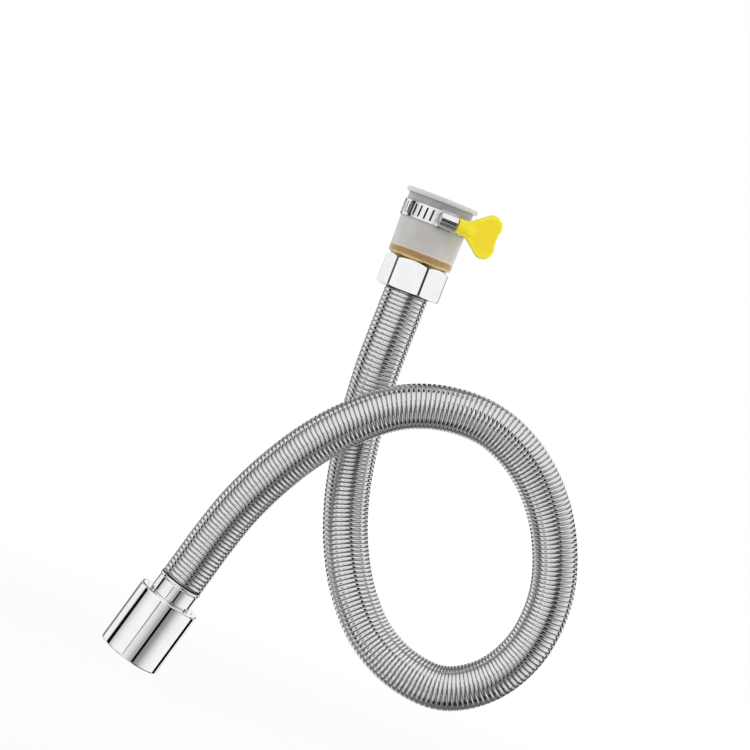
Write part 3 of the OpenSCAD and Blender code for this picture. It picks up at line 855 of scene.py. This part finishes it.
# rows run from the middle line of one face over a quarter-circle edge to the other face
def addKey():
    k = key
    loop = keyOutline()
    tangent = np.roll(loop, -1, axis=0) - np.roll(loop, 1, axis=0)
    tangent /= np.linalg.norm(tangent, axis=1, keepdims=True)
    inward = np.stack([tangent[:, 1], -tangent[:, 0]], 1)
    spineX = np.clip(loop[:, 0], k["start"] + k["spine"][0], k["valleyX"] - k["spine"][1])
    middle = np.stack([spineX, 0 * spineX], 1)
    turn = np.radians(np.linspace(0, 90, k["rows"]))
    edgeRows = loop[None] + inward[None] * (k["edge"] * (1 - np.cos(turn)))[:, None, None]
    share = np.linspace(0, 1, k["rows"])[1:, None, None]
    faceRows = edgeRows[-1][None] * (1 - share) + middle[None] * share
    rows = np.concatenate([edgeRows, faceRows])
    rise = np.concatenate([np.sin(turn), np.ones(len(faceRows))])[:, None]
    height = keyHeight(rows[..., 0], rows[..., 1]) * rise
    edgeEnd, faceStart, fadeRows = k["nearness"]
    onEdge = np.linspace(1, edgeEnd, k["rows"])
    onFace = np.clip(1 - np.arange(1, k["rows"]) / fadeRows, 0, 1) * faceStart
    nearness = np.repeat(np.concatenate([onEdge, onFace])[:, None], len(loop), axis=1)
    top = np.stack([rows[..., 0], -k["screwDrop"] - height, rows[..., 1]], -1)
    under = np.stack([rows[..., 0], -k["screwDrop"] + height, rows[..., 1]], -1)
    grid = np.concatenate([top[::-1], under[1:]]) * mm
    marks = np.concatenate([nearness[::-1], nearness[1:]])
    mesh = gridMesh("wingKey", placed(grid, clampPlace), closedColumns=True,
                    marks={"edgeNearness": marks})
    addPiece("wingKey", mesh, "clamp_screw", "key", ["wing_key"])


addKey()


# union nut

nut = {
    "corner": 14.434,
    "turn": -9.6,
    "top": -29.8, "foot": -43.4, "shoulder": -41.2,
    "chamfer": 2.0, "footChamfer": 1.0,
    "bore": 10.5, "hole": 7.6,
    "round": 0.62,                # mm cut back at each upright edge
    "facePoints": 12,
    "slope": 30,                  # degrees that the chamfer falls
    "rim": 0.4, "seam": 0.3,      # mm between the rows that keep an edge crisp
    "boreSeam": 0.6, "boreStep": 1.0,     # mm to the rows beside the bore's top edge
    "faceRows": (4, 5, 6, 7),     # rows that lie on the six faces
    # share of the painted dark reflection in each column of a softened upright edge
    "paintedEdgeReflection": (0, 0.8, 1, 1, 1, 1, 1, 0.8, 0),
}


# six-sided outline of softened corners; at each column the chamfer cone, whose height falls by
# tan 30 for each mm of radius, meets the flat at its own level, which gives the scalloped edge
def addNut():
    n = nut
    corner = np.radians(np.arange(6) * 60 + n["turn"])
    hexagon = np.stack([n["corner"] * np.cos(corner), n["corner"] * np.sin(corner),
                        np.full(6, n["round"])], 1)
    outline = softOutline(hexagon, 7)
    spread = np.linspace(0, 1, n["facePoints"])[1:-1, None]
    sides = outline.reshape(6, -1, 2)
    flats = sides[:, None, -1] * (1 - spread) + np.roll(sides, -1, axis=0)[:, None, 0] * spread
    outline = np.concatenate([sides, flats], axis=1).reshape(-1, 2)
    reach = np.linalg.norm(outline, axis=1)
    heading = outline / reach[:, None]
    slope = np.tan(np.radians(n["slope"]))
    topReach = np.minimum(reach, n["corner"] - n["chamfer"])
    footReach = np.minimum(reach, n["corner"] - n["footChamfer"])
    topBend = n["top"] - (reach - topReach) * slope
    footBend = n["foot"] + (reach - footReach) * slope
    hole, bore, rim, seam = n["hole"], n["bore"], n["rim"], n["seam"]
    top, foot, shoulder = n["top"], n["foot"], n["shoulder"]
    rows = [
        (hole, foot), (hole + rim, foot), (footReach - rim, foot), (footReach, foot),
        (reach, footBend), (reach, footBend + seam), (reach, topBend - seam), (reach, topBend),
        (topReach, top), (topReach - seam, top), (bore + n["boreSeam"], top), (bore + rim, top),
        (bore, top - rim), (bore, top - n["boreStep"]), (bore, shoulder + seam), (bore, shoulder),
        (hole, shoulder),
    ]
    rows = np.stack([np.broadcast_arrays(r, z, reach)[:2] for r, z in rows])
    grid = np.concatenate([heading * rows[:, 0, :, None], rows[:, 1, :, None]], axis=2) * mm
    # the painted dark reflection runs only along the upright edges of the six faces
    line = np.tile(np.concatenate([n["paintedEdgeReflection"], np.zeros(len(spread))]), 6)
    onFace = np.isin(np.arange(len(rows)), n["faceRows"])[:, None]
    mesh = ringMesh("unionNut", grid, {"paintedEdgeReflection": line[None] * onFace})
    addPiece("unionNut", mesh, "nut", "nut", ["union_nut"], 24)


addNut()


# outlet head

outlet = {
    "columns": 160,
    "ferrule": (                  # radius, height below the hose's end, corner cut-back, in mm
        (7.615, 5.9, 0.1), (8.2, 5.9, 0.1), (8.2, -0.05, 0.1), (9.45, -0.05, 0.35),
        (10.0, -0.35, 0.4), (10.0, -1.25, 0.4), (9.6, -1.7, 0.25), (9.6, -8.75, 0.2),
        (7.67, -8.75, 0.1), (7.67, -0.4, 0.1),
    ),
    "collar": (
        (11.6, -8.8, 0.2), (14.2, -8.8, 2.4), (14.2, -39.3, 0.8), (8.7, -39.3, 0.35),
        (8.7, -36.3, 0.15), (11.6, -36.3, 0.15),
    ),
}


def addOutlet(part, name, body, node, steps):
    grid = latheGrid(softOutline(outlet[part], steps), outlet["columns"], outletPlace)
    mesh = ringMesh(name, grid)
    return addPiece(name, mesh, body, part, [node])


hoseFerrule = addOutlet("ferrule", "hoseFerrule", "hose", "ferrule_bottom", 6)
outletCollar = addOutlet("collar", "outletCollar", "collar", "outlet_collar", 9)


# the CAD pieces that stay, each with its finish

keptNodes = {
    "spout_gasket": "washer",
    "worm_screw": "screw",
    "nut_washer": "washer",
    "slip_ring": "nylon",
    "tailpiece_top": "brass",
    "ferrule_top": "screw",
    "tailpiece_bottom": "ferrule",
    "outlet_gasket": "washer",
    "jet_plate": "nylon",
    "aerator_cartridge": "nylon",
    "outlet_screen": "mesh",
}
for node, finish in keptNodes.items():
    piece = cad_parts[node]
    if not piece.material_slots:
        piece.data.materials.append(finishes[finish])
    for place in piece.material_slots:
        place.material = finishes[finish]
print("CAD pieces dressed:", len(keptNodes))


# studio

studio = {
    "floorHeight": -0.30, "floorReach": 12.0,
    "floorPaint": (0.80, 0.80, 0.80, 1),
    "floorGlow": (0.135, 0.44),   # under the object and far away
    "floorFade": (0.3, 2.6),      # from the object, where the lamps fade out
    "fill": 0.72,                 # plain world light on colours
    "tilt": 21.27,                # degrees that the dark strips lean
    # tone round the lean axis, as azimuth in turns, half a turn straight at the camera's side
    "round": (
        (0.000, 0.96), (0.200, 0.94), (0.250, 0.55), (0.270, 0.60), (0.304, 0.80), (0.336, 0.94),
        (0.365, 0.98), (0.800, 0.98), (1.000, 0.96),
    ),
    # the same for the grey shoulders of the middle bar, which lean with it
    "middle": (
        (0.446, 1.0), (0.460, 0.86), (0.480, 0.83), (0.515, 0.69), (0.532, 0.61), (0.549, 0.47),
        (0.574, 0.40), (0.634, 0.27), (0.678, 0.38), (0.698, 0.50), (0.718, 0.62), (0.739, 0.73),
        (0.783, 0.90), (0.820, 1.0),
    ),
    "shoulderFade": (0.25, 0.10),     # heights of the direction with none and all of the shoulders
    # tone over the height of the direction, straight down to straight up, as 0 to 1
    "height": ((0.0, 0.02), (0.030, 0.03), (0.045, 0.45), (0.10, 0.90), (0.16, 1.0), (0.955, 1.0),
               (0.982, 0.9), (0.990, 0.04), (1.0, 0.02)),
    # dark bars that the bright metal mirrors as lines, each laid over those before it: lean in
    # turns for each unit of height, middle and half width in turns, lowest and highest
    # direction, tone
    "bars": {
        "middle": (-0.15, 0.6005, 0.0155, -0.75, -0.28, 0.0),
        "middleTop": (0.103, 0.523, 0.017, -0.28, -0.10, 0.0),
        "middleHigh": (0.05, 0.594, 0.021, -0.08, 0.52, 0.0),
        "left": (0.0, 0.236, 0.018, 0.43, 0.80, 0.0),
        "leftBand": (0.0, 0.232, 0.028, 0.20, 0.43, 0.0),
        "leftMiddle": (0.0, 0.362, 0.022, -0.42, -0.02, 0.30),
        "leftFoot": (0.05, 0.257, 0.022, -0.45, 0.24, 0.0),
        "leftEdge": (0.0, 0.074, 0.024, 0.16, 0.42, 0.16),
        "right": (0.2275, 0.800, 0.050, -0.80, -0.35, 0.0),
        "edge": (0.0, 0.4375, 0.0075, -0.05, 0.05, 0.05),
        "screw": (0.0, 0.577, 0.020, -0.46, -0.20, 0.0),
        "screwFoot": (0.0, 0.545, 0.040, -0.97, -0.68, 0.14),
        "leftBack": (0.0, 0.175, 0.030, -0.55, -0.02, 0.40),
        "backTopLeft": (0.0, 0.06, 0.08, 0.54, 0.96, 0.25),
        "backTopRight": (0.0, 0.95, 0.07, 0.54, 0.96, 0.25),
        "backFootLeft": (0.0, 0.08, 0.10, -0.97, -0.55, 0.18),
        "backFootRight": (0.0, 0.92, 0.09, -0.97, -0.70, 0.18),
        "backBandLeft": (0.0, 0.06, 0.07, -0.09, 0.07, 0.04),
        "backBandRight": (0.0, 0.92, 0.09, -0.09, 0.07, 0.04),
        "backPostLeft": (0.0, 0.0, 0.018, -0.36, 0.90, 0.04),
        "backPostRight": (0.0, 1.0, 0.018, -0.36, 0.90, 0.04),
        "rightEdge": (0.0, 0.828, 0.022, -0.46, -0.12, 0.03),
    },
    "barSoft": (0.003, 0.04),     # a bar's soft edge, across in turns and along in height
    "lampAim": (0.03, 0, -0.11),  # the middle of the hose
    "lamps": {                    # place, size, power
        "keyLamp": ((-1.3, -1.1, 1.0), 0.3, 7.5),
        "sideLamp": ((1.45, -0.65, 0.5), 0.8, 6.0),
        "lowLamp": ((0.75, -1.3, -0.22), 0.5, 2.5),
        "leftBackLamp": ((-1.5, 0.45, 0.45), 0.8, 5.5),
        "rightBackLamp": ((1.5, 0.4, 0.3), 0.8, 7.0),
    },
}


# turns moved on by the height times a lean
def addLean(tree, turns, height, lean):
    return addMath(tree, "MULTIPLY_ADD", height, lean, turns)


# 1 within the reach of a middle value and 0 outside it, over a soft edge
def addWithin(tree, value, middle, reach, soft):
    size = addMath(tree, "ABSOLUTE", addMath(tree, "SUBTRACT", value, middle))
    return addRange(tree, size, reach + soft, reach)


# a toned bar over what is seen behind it
def addBar(tree, seen, turns, height, bar):
    lean, middle, half, low, high, tone = bar
    softAcross, softAlong = studio["barSoft"]
    across = addWithin(tree, addLean(tree, turns, height, lean), middle, half, softAcross)
    along = addWithin(tree, height, (low + high) / 2, (high - low) / 2, softAlong)
    inside = addMath(tree, "MULTIPLY", across, along)
    return addMix(tree, inside, seen, (tone, tone, tone, 1))


def mixShaders(tree, share, first, second):
    mixed = tree.nodes.new("ShaderNodeMixShader")
    for socket, value in zip(mixed.inputs, (share, first, second)):
        tree.links.new(value, socket)
    return mixed.outputs[0]


# the camera sees plain white, mirrored rays see the toned studio, and all else a plain light
def addWorld():
    world = bpy.data.worlds.new("studioWorld")
    bpy.context.scene.world = world
    world.use_nodes = True
    tree = world.node_tree
    tree.nodes.clear()
    coords = tree.nodes.new("ShaderNodeTexCoord")
    lean = addNode(tree, "ShaderNodeMapping", Rotation=(0, np.radians(studio["tilt"]), 0))
    tree.links.new(coords.outputs["Generated"], lean.inputs["Vector"])
    apart = tree.nodes.new("ShaderNodeSeparateXYZ")
    tree.links.new(lean.outputs["Vector"], apart.inputs[0])
    height = apart.outputs["Z"]
    front = addMath(tree, "MULTIPLY", apart.outputs["Y"], -1.0)
    azimuth = addMath(tree, "ARCTAN2", apart.outputs["X"], front)
    turns = addMath(tree, "MULTIPLY_ADD", azimuth, 1 / fullTurn, 0.5)
    leaned = addLean(tree, turns, height, studio["bars"]["middle"][0])
    shoulders = addRamp(tree, leaned, studio["middle"])
    level = addRamp(tree, addMath(tree, "MULTIPLY_ADD", height, 0.5, 0.5), studio["height"])
    seen = addRamp(tree, turns, studio["round"])
    share = addRange(tree, height, *studio["shoulderFade"])
    seen = addMix(tree, share, seen, shoulders, "MULTIPLY")
    seen = addMix(tree, 1.0, seen, level, "MULTIPLY")
    for bar in studio["bars"].values():
        seen = addBar(tree, seen, turns, height, bar)
    rays = tree.nodes.new("ShaderNodeLightPath")
    mirrored = addMath(tree, "MAXIMUM", rays.outputs["Is Glossy Ray"],
                       rays.outputs["Is Transmission Ray"])
    fill, plain, gloss = (
        addNode(tree, "ShaderNodeBackground", Color=(1, 1, 1, 1), Strength=power)
        for power in (studio["fill"], 1.0, 1.0))
    tree.links.new(seen, gloss.inputs["Color"])
    lit = mixShaders(tree, mirrored, fill.outputs[0], gloss.outputs[0])
    shown = mixShaders(tree, rays.outputs["Is Camera Ray"], lit, plain.outputs[0])
    end = tree.nodes.new("ShaderNodeOutputWorld")
    tree.links.new(shown, end.inputs["Surface"])


# a round lamp that faces the middle of the hose and isn't mirrored
def addLamp(name, place, size, power):
    data = bpy.data.lights.new(name, "AREA")
    data.shape = "DISK"
    data.size = size
    data.energy = power
    lamp = addObject(name, data)
    away = Vector(place) - Vector(studio["lampAim"])
    lamp.rotation_euler = away.to_track_quat("Z", "Y").to_euler()
    lamp.location = place
    lamp.visible_camera = False
    lamp.visible_glossy = False


# pale paint that takes the shadow, with a faint glow for the camera where the lamps fade out
def addFloor():
    side = np.linspace(-studio["floorReach"], studio["floorReach"], 9)
    x, y = np.meshgrid(side, side, indexing="ij")
    mesh = gridMesh("paleFloor", np.stack([x, y, studio["floorHeight"] + 0 * x], -1))
    mesh.flip_normals()
    material = bpy.data.materials.new("paleFloor")
    material.use_nodes = True
    tree = material.node_tree
    tree.nodes.clear()
    coords = tree.nodes.new("ShaderNodeTexCoord")
    away = addMath(tree, "LENGTH", coords.outputs["Object"], kind="ShaderNodeVectorMath",
                   output="Value")
    near, beyond = (addNode(tree, "ShaderNodeEmission", Strength=power).outputs[0]
                    for power in studio["floorGlow"])
    glow = mixShaders(tree, addRange(tree, away, *studio["floorFade"]), near, beyond)
    paint = addNode(tree, "ShaderNodeBsdfDiffuse", Color=studio["floorPaint"]).outputs[0]
    both = tree.nodes.new("ShaderNodeAddShader")
    tree.links.new(paint, both.inputs[0])
    tree.links.new(glow, both.inputs[1])
    rays = tree.nodes.new("ShaderNodeLightPath")
    shown = mixShaders(tree, rays.outputs["Is Camera Ray"], paint, both.outputs[0])
    end = tree.nodes.new("ShaderNodeOutputMaterial")
    tree.links.new(shown, end.inputs["Surface"])
    mesh.materials.append(material)
    floor = addObject("paleFloor", mesh)
    floor.visible_glossy = False


addWorld()
for lampName, lampSettings in studio["lamps"].items():
    addLamp(lampName, *lampSettings)
addFloor()
bpy.context.scene.view_settings.view_transform = "Standard"
print("studio lit")
